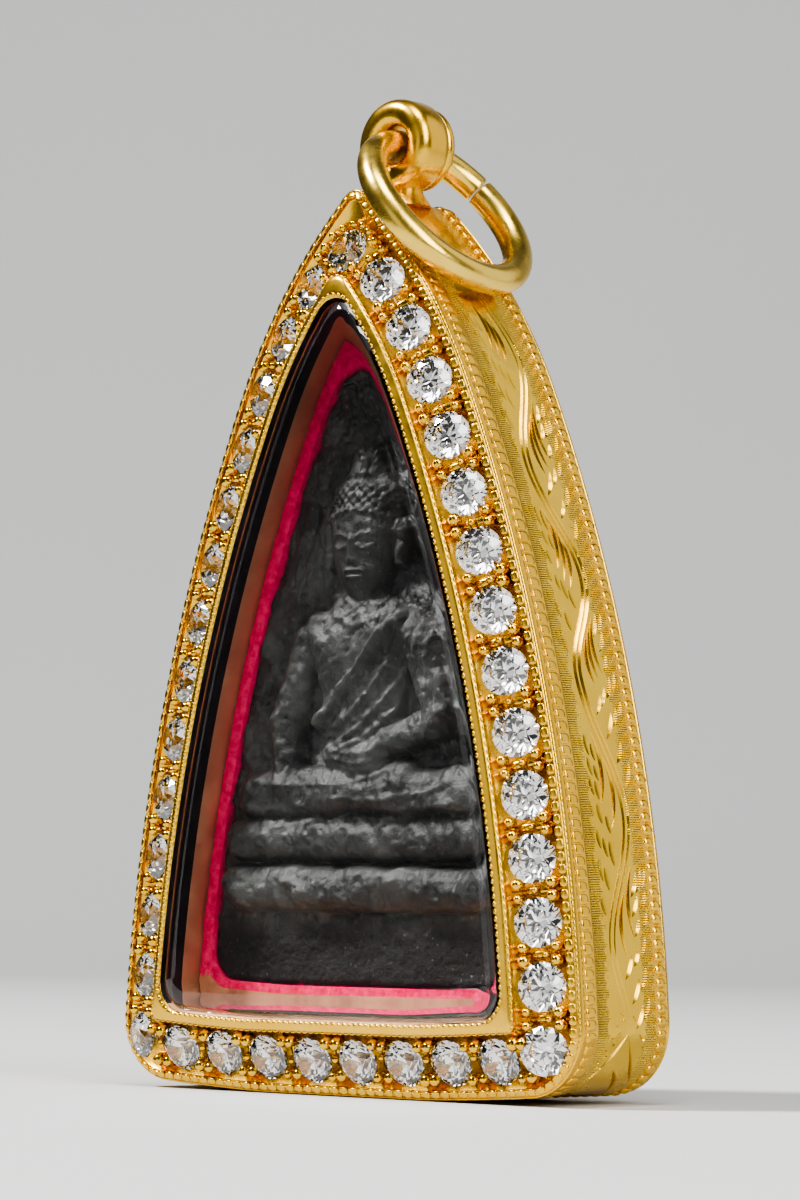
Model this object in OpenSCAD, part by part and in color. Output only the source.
// Amulet pendant: a gold ogive casing set with round stones, clear windows, a felt-lined
// clay tablet with a seated figure, a round bail and a split jump ring.
// Millimetres. Z is up, the front faces -Y, and the origin is under the middle of the base.

/* [Outline] */
// Widest part of the casing, across the bottom corners
case_w = 27.7; // [26:0.1:30]
// Radius of the long curved sides
side_r = 84; // [80:1:95]
// Lean of the sides from upright where they meet the bottom corners, in degrees
base_lean = 3.4; // [2:0.1:4.5]
// Lean of the sides where the tighter shoulder curve begins, in degrees
shoulder_lean = 23.8; // [22:0.1:26]
// Radius of the shoulder curve, up to the tip
shoulder_r = 26.6; // [25:0.1:30]
// Radius of the rounded tip
tip_r = 0.9; // [0.8:0.1:1.5]
// Radius of the bottom corners
corner_r = 3; // [2.6:0.1:3.6]
// Radius of the slightly bowed bottom
base_r = 150; // [120:5:200]
// Half length of the flat in the middle of the bottom
foot_half = 5; // [3:0.5:6]

/* [Casing] */
// Thickness of the sheet that the side wall is made of
wall = 0.7; // [0.6:0.05:0.9]
// Depth of the side wall that is sunk between its front and back bands
wall_sunk = 0.12; // [0.05:0.01:0.2]
// Slope of the front rim, falling outwards, in degrees
bevel = 22; // [18:1:24]
// Distance from the outside of the wall to the window
rim_w = 3.4; // [3.3:0.05:3.6]
// Depth of the middle of the stones' girdles, in front of the ring's plane
girdle_y = 3.9; // [3.8:0.05:4]
// Where the side wall ends at the back
wall_back = 2.8; // [2.6:0.1:3]
// Where the plain back rim ends
rim_back = 3.5; // [3.3:0.1:3.6]

/* [Stones] */
// Stones down each side, the corner stone included
side_stones = 14; // [14:1:14]
// Stones along the bottom, between the corner stones
base_stones = 8; // [8:2:8]
// Diameter of a stone
stone_d = 2.2; // [2.0:0.05:2.25]
// Distance from the outside of the wall to the row of stones
stone_in = 1.66; // [1.6:0.02:1.7]
// Distance along the outline from the tip stone to a corner stone
corner_at = 39.2; // [38.5:0.1:40]

/* [Windows and tablet] */
// Front face of the front window
front_y = 4.9; // [4.85:0.05:5]
// Thickness of the front window
front_t = 1.05; // [0.9:0.05:1.1]
// Back face of the back window
back_y = 3.8; // [3.7:0.05:3.9]
// Distance from the outside of the wall to the tablet's edge
tablet_in = 4.15; // [4.1:0.05:4.4]
// Distance from the base to the bottom of the tablet
tablet_base = 5; // [4.8:0.1:5.4]
// Depth of the tablet's plain field, in front of the ring's plane
field_y = 1.5; // [1.3:0.1:1.8]
// Back of the tablet
tablet_back = 1.55; // [1.4:0.05:1.6]

/* [Bail and ring] */
// Height of the middle of the bail
bail_z = 43.85; // [43.6:0.05:44.1]
// Outer radius of the bail
bail_r = 2.15; // [2.0:0.05:2.3]
// Radius of the hole in the bail
bail_hole_r = 0.86; // [0.84:0.01:0.9]
// Half length of the straight part of the bail's section
bail_flat = 0.45; // [0.3:0.05:0.6]
// Radius of the jump ring, to the middle of its wire
ring_r = 4.2; // [4.1:0.05:4.3]
// Radius of the jump ring's wire
wire_r = 0.7; // [0.65:0.01:0.72]
// How far the jump ring leans below level, in degrees
ring_lean = 52; // [50:0.5:52]

/* [Hidden] */
$fn = 64;
function stone_name(i) = str("stone_", i < 10 ? "0" : "", i);

gold = [0.86, 0.66, 0.22];
pale_gold = [0.80, 0.68, 0.28];
clear = [0.85, 0.88, 0.90, 0.45];
felt_red = [0.85, 0.12, 0.28];
clay_black = [0.10, 0.10, 0.10];
gap = 0.05;

// The outline, in the X-Z plane
// An angle there is counted from +Z towards +X, so 0 is up and 90 is to the right.
function dir(a) = [sin(a), cos(a)];
function angle_of(v) = atan2(v[0], v[1]);
function arc(c, r, a0, a1, n) = [for (i = [0:n - 1]) c + r * dir(a0 + (a1 - a0) * i / n)];

foot_a = asin(foot_half / base_r);
base_c = [0, base_r * cos(foot_a)];
corner_c = [
    case_w / 2 - corner_r,
    base_c[1] - sqrt(pow(base_r - corner_r, 2) - pow(case_w / 2 - corner_r, 2))
];
side_c = corner_c - (side_r - corner_r) * dir(90 - base_lean);
shoulder_a = 90 - shoulder_lean;
shoulder_c = side_c + (side_r - shoulder_r) * dir(shoulder_a);

// Where a circle of radius ra about a meets one of radius rb about b, on the right
function meet(a, ra, b, rb) =
    let (
        d = b - a,
        l = norm(d),
        m = (l * l + ra * ra - rb * rb) / (2 * l),
        h = sqrt(ra * ra - m * m),
        u = d / l
    )
    a + m * u + h * [u[1], -u[0]];

// The arcs of the outline moved out by o, and by ob along the bottom, with its own tip and
// corner radii: each row is [centre, radius, first angle, last angle, pieces]
function arcs(o, ob, tip, corner) =
    let (
        tip_z = shoulder_c[1] + sqrt(pow(shoulder_r + o - tip, 2) - pow(shoulder_c[0], 2)),
        tip_a = angle_of([0, tip_z] - shoulder_c),
        c = meet(side_c, side_r + o - corner, base_c, base_r + ob - corner),
        side_end = angle_of(c - side_c),
        corner_end = angle_of(c - base_c)
    )
    [
        [[0, tip_z], tip, 0, tip_a, 4],
        [shoulder_c, shoulder_r + o, tip_a, shoulder_a, 5],
        [side_c, side_r + o, shoulder_a, side_end, 11],
        [c, corner, side_end, corner_end, 6],
        [base_c, base_r + ob, corner_end, 180 - foot_a, 2]
    ];
function half_points(rows) = concat(
    [for (r = rows) each arc(r[0], r[1], r[2], r[3], r[4])],
    [rows[4][0] + rows[4][1] * dir(rows[4][3])]
);
function both_sides(half) = concat(half, [for (i = [len(half) - 1:-1:1]) [-half[i][0], half[i][1]]]);
function outline(o, tip, corner, ob) = both_sides(half_points(arcs(o, is_undef(ob) ? o : ob, tip, corner)));
function at_depth(loop, y) = [for (p = loop) [p[0], y, p[1]]];

// Rings of points, one behind the other, joined into a tube that closes on itself
module closed_sweep(rings) {
    n = len(rings[0]);
    m = len(rings);
    polyhedron(
        [for (r = rings) each r],
        [
            for (j = [0:m - 1], i = [0:n - 1])
                let (k = (i + 1) % n, q = (j + 1) % m)
                each [[j * n + i, q * n + i, q * n + k], [j * n + i, q * n + k, j * n + k]]
        ]
    );
}
// Rings of points from back to front, closed by a flat face at each end
module loft(rings) {
    n = len(rings[0]);
    m = len(rings);
    polyhedron(
        [for (r = rings) each r],
        concat(
            [[for (i = [n - 1:-1:0]) i]],
            [
                for (j = [0:m - 2], i = [0:n - 1])
                    let (k = (i + 1) % n)
                    each [[j * n + i, (j + 1) * n + k, (j + 1) * n + i], [j * n + i, j * n + k, (j + 1) * n + k]]
            ],
            [[for (i = [0:n - 1]) (m - 1) * n + i]]
        )
    );
}

// The front rim
// Depth of the stones' girdle plane at an offset o from the outside of the wall
function girdle(o) = -girdle_y + (o + stone_in) * tan(bevel);
band_h = 0.22;
seat_half = stone_d / 2 + 0.1;
seat_depth = 1.15;
floor_half = 0.15;
rim_under = 1.65;
outer_band = -stone_in + seat_half;
inner_band = -stone_in - seat_half;
// The bottom of the seat lies under the stones along their tilted axes
seat_o = -stone_in - seat_depth * sin(bevel);
seat_y = -girdle_y + seat_depth * cos(bevel);
edge_r = 0.55;
edge_o = -0.34;
edge_c = [edge_o - edge_r * sin(bevel), girdle(edge_o) - band_h + edge_r * cos(bevel)];
function edge(a) = edge_c + edge_r * [sin(a), -cos(a)];
front_band_end = -2.1;
back_band_start = 2.15;
step = 0.08;
lip_t = 0.5;
lip_end = -1;
window_o = -rim_w;
window_tip = 1.2;
window_corner = 1.4;

// Half section of the casing, from the window forwards, outwards and round to the back
// Each row is [offset from the outside of the wall, depth, tip radius, corner radius].
function casing_rows() = [
    [window_o, lip_end, window_tip, window_corner],
    [window_o, girdle(window_o) - band_h + 0.15, window_tip, window_corner],
    [window_o + 0.12, girdle(window_o + 0.12) - band_h, window_tip, window_corner],
    [inner_band, girdle(inner_band) - band_h, 0.8, 0.3],
    [inner_band, girdle(inner_band), 0.8, 0.3],
    [seat_o - floor_half, seat_y - floor_half * tan(bevel), 1.8, 0.5],
    [seat_o + floor_half, seat_y + floor_half * tan(bevel), 1.8, 0.7],
    [outer_band, girdle(outer_band), 0.5, 2.2],
    [outer_band, girdle(outer_band) - band_h, 0.5, 2.2],
    [edge_o, girdle(edge_o) - band_h, 0.6, 2.5],
    [edge(45)[0], edge(45)[1], 0.75, 2.8],
    [edge(68)[0], edge(68)[1], 0.85, 2.9],
    [0, edge_c[1], tip_r, corner_r],
    [0, front_band_end, tip_r, corner_r],
    [-wall_sunk, front_band_end + step, tip_r, corner_r],
    [-wall_sunk, back_band_start - step, tip_r, corner_r],
    [0, back_band_start, tip_r, corner_r],
    [0, wall_back, tip_r, corner_r],
    [-0.15, wall_back + 0.35, tip_r, corner_r],
    [-0.6, rim_back - 0.1, 0.8, 2.6],
    [window_o + 0.2, rim_back, window_tip, window_corner],
    [window_o, rim_back - 0.15, window_tip, window_corner],
    [window_o, rim_back - 0.8, window_tip, window_corner],
    [-wall - 0.8, rim_back - 0.9, 0.5, 1.6],
    [-wall, wall_back - 0.5, 0.4, 2.3],
    [-wall, girdle(-wall) + rim_under, 0.4, 2.3],
    [window_o + lip_t + 0.3, girdle(window_o + lip_t) + rim_under, 0.9, 1.3],
    [window_o + lip_t, girdle(window_o + lip_t) + rim_under + 0.3, 0.9, 1.3],
    [window_o + lip_t, lip_end, 0.9, 1.3]
];

// The bail: a thick round bead with a thin second lip behind it, and the solder at its foot
bail_wall = (bail_r - bail_hole_r) / 2;
bail_mid_r = (bail_r + bail_hole_r) / 2;
lip_y = 1.17;
lip_wire_r = 0.33;
lip_mid_r = 1.66;
foot_low = 40.7;
foot_high = 42.4;
foot_r1 = 1.2;
foot_r2 = 0.8;

module bail_bead() {
    rotate([90, 0, 0])
        rotate_extrude()
            translate([bail_mid_r, 0]) {
                translate([0, bail_flat]) circle(bail_wall);
                translate([0, -bail_flat]) circle(bail_wall);
                square([2 * bail_wall, 2 * bail_flat], center = true);
            }
}
module bail() {
    translate([0, 0, bail_z]) {
        bail_bead();
        translate([0, lip_y, 0])
            rotate([90, 0, 0])
                rotate_extrude()
                    translate([lip_mid_r, 0]) circle(lip_wire_r);
    }
    translate([0, 0, foot_low]) cylinder(h = foot_high - foot_low, r1 = foot_r1, r2 = foot_r2);
}
module casing() {
    color(gold) {
        closed_sweep([for (r = casing_rows()) at_depth(outline(r[0], r[2], r[3]), r[1])]);
        bail();
    }
}

// The jump ring lies in a plane that holds the bail's axis, and is cut on its rear strand
cut_at = 118;
cut_width = 0.12;
cut_angle = 2 * asin(cut_width / 2 / ring_r);
module jump_ring() {
    color(pale_gold)
        translate([0, 0, bail_z])
            rotate([0, ring_lean, 0])
                translate([ring_r, 0, 0])
                    rotate([0, 0, cut_at + cut_angle / 2])
                        rotate_extrude(angle = 360 - cut_angle)
                            translate([ring_r, 0]) circle(wire_r);
}

// The windows, domed at their edges
fit_o = window_o - gap;
module front_crystal() {
    back = -front_y + front_t;
    rows = [
        [fit_o, back, window_tip, window_corner],
        [fit_o, -front_y + 0.5, window_tip, window_corner],
        [fit_o - 0.1, -front_y + 0.3, window_tip, window_corner],
        [fit_o - 0.3, -front_y + 0.13, window_tip, window_corner],
        [fit_o - 0.65, -front_y + 0.04, 1.1, 1.2],
        [fit_o - 1.2, -front_y, 1, 1]
    ];
    color(clear) loft([for (r = rows) at_depth(outline(r[0], r[2], r[3]), r[1])]);
}
module back_crystal() {
    front = tablet_back + 0.1;
    rows = [
        [fit_o - 1.2, back_y, 1, 1],
        [fit_o - 0.5, back_y - 0.06, window_tip, window_corner],
        [fit_o - 0.1, back_y - 0.3, window_tip, window_corner],
        [fit_o, back_y - 0.6, window_tip, window_corner],
        [fit_o, front, window_tip, window_corner]
    ];
    color(clear) loft([for (r = rows) at_depth(outline(r[0], r[2], r[3]), r[1])]);
}

// The tablet and its felt strip
tablet_tip = 2.8;
tablet_corner = 1.3;
felt_front = 1.85;
felt_rows = [
    [-tablet_in + gap, -tablet_base + gap, -felt_front],
    [fit_o, fit_o, -felt_front],
    [fit_o, fit_o, tablet_back],
    [-tablet_in + gap, -tablet_base + gap, tablet_back]
];
module gasket() {
    color(felt_red)
        closed_sweep([
            for (r = felt_rows)
                at_depth(outline(r[0], r[0] == fit_o ? window_tip : tablet_tip, window_corner, r[1]), r[2])
        ]);
}

// Rounded forms of the seated figure: from one end to the other, a swelling of the given
// radii that stands off the field by its height. The order is
// [left-right, up, to left-right, to up, first radius, second radius, height]
figure = [
    [0, 28.6, 0, 29.0, 1.2, 0.9, 0.75],       // topknot
    [0, 26.2, 0, 26.7, 2.15, 2.1, 1.0],       // hair and crown of the head
    [0, 24.3, 0, 25.7, 1.75, 2.05, 1.25],     // face
    [-2.1, 24.3, -2.2, 25.9, 0.4, 0.45, 0.6], // ears
    [2.1, 24.3, 2.2, 25.9, 0.4, 0.45, 0.6],
    [0, 22.4, 0, 23.4, 1.3, 1.2, 0.7],        // neck
    [-2.7, 20.9, 2.7, 20.9, 1.35, 1.35, 0.85], // shoulders
    [0, 20.2, 0, 16.2, 3.1, 2.2, 1.05],       // chest and waist
    [-3.6, 20.7, -4.6, 17.2, 1.05, 0.95, 0.85], // arm that reaches to the knee
    [-4.6, 17.2, -4.7, 14.3, 0.9, 0.75, 0.95],
    [3.6, 20.7, 4.7, 17.3, 1.15, 1.05, 0.9],  // bent arm
    [4.6, 16.9, 0.9, 15.7, 0.95, 0.75, 1.0],
    [-1.4, 15.5, 1.3, 15.4, 0.75, 0.75, 1.05], // hands in the lap
    [-6.4, 13.6, 2.6, 14.2, 1.35, 1.1, 1.1],  // crossed legs
    [6.5, 13.7, -2.4, 13.3, 1.35, 1.0, 1.15],
    [-7.3, 11.7, 7.3, 11.7, 1.1, 1.1, 0.95],  // upper seat tier
    [-7.6, 9.4, 7.6, 9.4, 1.1, 1.1, 1.0],     // lower seat tier
    [2.6, 21.6, -2.2, 17.0, 0.5, 0.45, 1.2]   // sash over the shoulder
];
function swelling(f, p) =
    let (
        a = [f[0], f[1]],
        ab = [f[2], f[3]] - a,
        t = min(1, max(0, (p - a) * ab / (ab * ab))),
        d = norm(p - a - t * ab),
        r = f[4] + t * (f[5] - f[4])
    )
    d >= r ? 0 : f[6] * sqrt(1 - pow(d / r, 2));
function sum(v) = [for (x = v) 1] * v;
// Forms that meet run into one another, and all of them fade out before the tablet's edge
function relief(x, z, half) =
    pow(sum([for (f = figure) pow(swelling(f, [x, z]), 4)]), 0.25) * min(1, max(0, (half - abs(x)) / 0.5));

grid_x = 36;
grid_z = 58;
module tablet() {
    half = half_points(arcs(-tablet_in, -tablet_base, tablet_tip, tablet_corner));
    profile = [for (p = half) [p[1], p[0]]];
    low = half[len(half) - 1][1];
    high = half[0][1];
    heights = [for (j = [0:grid_z]) low + (high - low) * (1 - cos(180 * (j + 0.35) / (grid_z + 1))) / 2];
    // Halfway between even and crowded-to-the-ends rows, so that the tip and corners stay round
    rows = [for (j = [0:grid_z]) (heights[j] + low + (high - low) * (j + 0.1) / (grid_z + 0.3)) / 2];
    wide = [for (z = rows) lookup(z, profile)];
    n = grid_x + 1;
    front = [
        for (j = [0:grid_z], i = [0:grid_x])
            let (x = wide[j] * (2 * i / grid_x - 1))
            [x, -field_y - relief(x, rows[j], wide[j]), rows[j]]
    ];
    rim = concat(
        [for (i = [0:grid_x]) i],
        [for (j = [1:grid_z]) j * n + grid_x],
        [for (i = [grid_x - 1:-1:0]) grid_z * n + i],
        [for (j = [grid_z - 1:-1:1]) j * n]
    );
    back = [for (k = rim) [front[k][0], tablet_back, front[k][2]]];
    m = len(rim);
    base = len(front);
    // The flat back is drawn from a point halfway up one side
    start = grid_x + floor(grid_z / 2);
    color(clay_black)
        polyhedron(
            concat(front, back),
            concat(
                [
                    for (j = [0:grid_z - 1], i = [0:grid_x - 1])
                        let (k = j * n + i)
                        each [[k, k + n, k + n + 1], [k, k + n + 1, k + 1]]
                ],
                [
                    for (i = [0:m - 1])
                        let (k = (i + 1) % m)
                        each [[rim[i], rim[k], base + k], [rim[i], base + k, base + i]]
                ],
                [[for (i = [0:m - 1]) base + (i + start) % m]]
            )
        );
}

// A round brilliant: a table, 8 stars, 8 kites, 16 upper halves, a girdle, 16 lower halves
// and 8 pavilion facets
stone_r = stone_d / 2;
table_r = 0.56 * stone_r;
star_r = 0.78 * stone_r;
lower_r = 0.30 * stone_r;
crown_h = 0.16 * stone_d;
girdle_h = 0.04 * stone_d;
pavilion_h = 0.43 * stone_d;
function round_row(r, z, n, from) = [for (i = [0:n - 1]) [r * cos(from + 360 * i / n), r * sin(from + 360 * i / n), z]];
star_h = crown_h * (stone_r - star_r * cos(22.5)) / (stone_r - table_r);
lower_h = pavilion_h * (stone_r - lower_r * cos(22.5)) / stone_r;
module brilliant() {
    // Points: 0 to 7 table, 8 to 15 stars, 16 to 31 upper girdle, 32 to 47 lower girdle,
    // 48 to 55 lower halves, 56 culet
    points = concat(
        round_row(table_r, crown_h, 8, 0),
        round_row(star_r, star_h, 8, 22.5),
        round_row(stone_r, 0, 16, 0),
        round_row(stone_r, -girdle_h, 16, 0),
        round_row(lower_r, -girdle_h - lower_h, 8, 22.5),
        [[0, 0, -girdle_h - pavilion_h]]
    );
    faces = concat(
        [[7, 6, 5, 4, 3, 2, 1, 0]],
        [for (i = [0:7]) let (k = (i + 1) % 8) [i, k, 8 + i]],
        [for (i = [0:7]) let (k = (i + 7) % 8) [i, 8 + i, 16 + 2 * i, 8 + k]],
        [for (i = [0:7]) [8 + i, 17 + 2 * i, 16 + 2 * i]],
        [for (i = [0:7]) [8 + i, 16 + (2 * i + 2) % 16, 17 + 2 * i]],
        [for (i = [0:15]) let (k = (i + 1) % 16) [16 + i, 16 + k, 32 + k, 32 + i]],
        [for (i = [0:7]) [48 + i, 32 + 2 * i, 33 + 2 * i]],
        [for (i = [0:7]) [48 + i, 33 + 2 * i, 32 + (2 * i + 2) % 16]],
        [for (i = [0:7]) let (k = (i + 7) % 8) [32 + 2 * i, 48 + i, 56, 48 + k]]
    );
    polyhedron(points, faces);
}

// The row of stones follows the outline moved inwards
tip_stone_r = 2;
corner_stone_r = 0.5;
stone_rows = arcs(-stone_in, -stone_in, tip_stone_r, corner_stone_r);
function arc_length(r) = r[1] * (r[3] - r[2]) * PI / 180;
function along(s, i = 0) =
    s <= arc_length(stone_rows[i]) || i == len(stone_rows) - 1
        ? let (r = stone_rows[i], a = r[2] + s / r[1] * 180 / PI) [r[0] + r[1] * dir(a), a]
        : along(s - arc_length(stone_rows[i]), i + 1);
half_length = sum([for (r = stone_rows) arc_length(r)]) + foot_half * (1 - stone_in / base_r);
side_step = corner_at / side_stones;
base_step = (half_length - corner_at) / (base_stones / 2 + 0.5);
// Distance from the tip to each stone of one half: the side, the corner, the bottom
stops = concat(
    [for (i = [1:side_stones]) i * side_step],
    [for (i = [1:base_stones / 2]) corner_at + i * base_step]
);
// The tip stone first, then the right side downwards, then the left side
function place(i) = i == 1 ? concat(along(0), [1])
    : i <= len(stops) + 1 ? concat(along(stops[i - 2]), [1])
    : concat(along(stops[i - 2 - len(stops)]), [-1]);
module stone(i) {
    p = place(i);
    x = p[0][0] * p[2];
    turn = p[1] * p[2];
    color(clear)
        translate([x, -girdle_y, p[0][1]])
            rotate([0, turn, 0])
                rotate([90 - bevel, 0, 0])
                    rotate([0, 0, 7 * i])
                        brilliant();
}

casing();
jump_ring();
front_crystal();
back_crystal();
gasket();
tablet();
for (i = [1:2 * side_stones + base_stones + 1])
    stone(i);
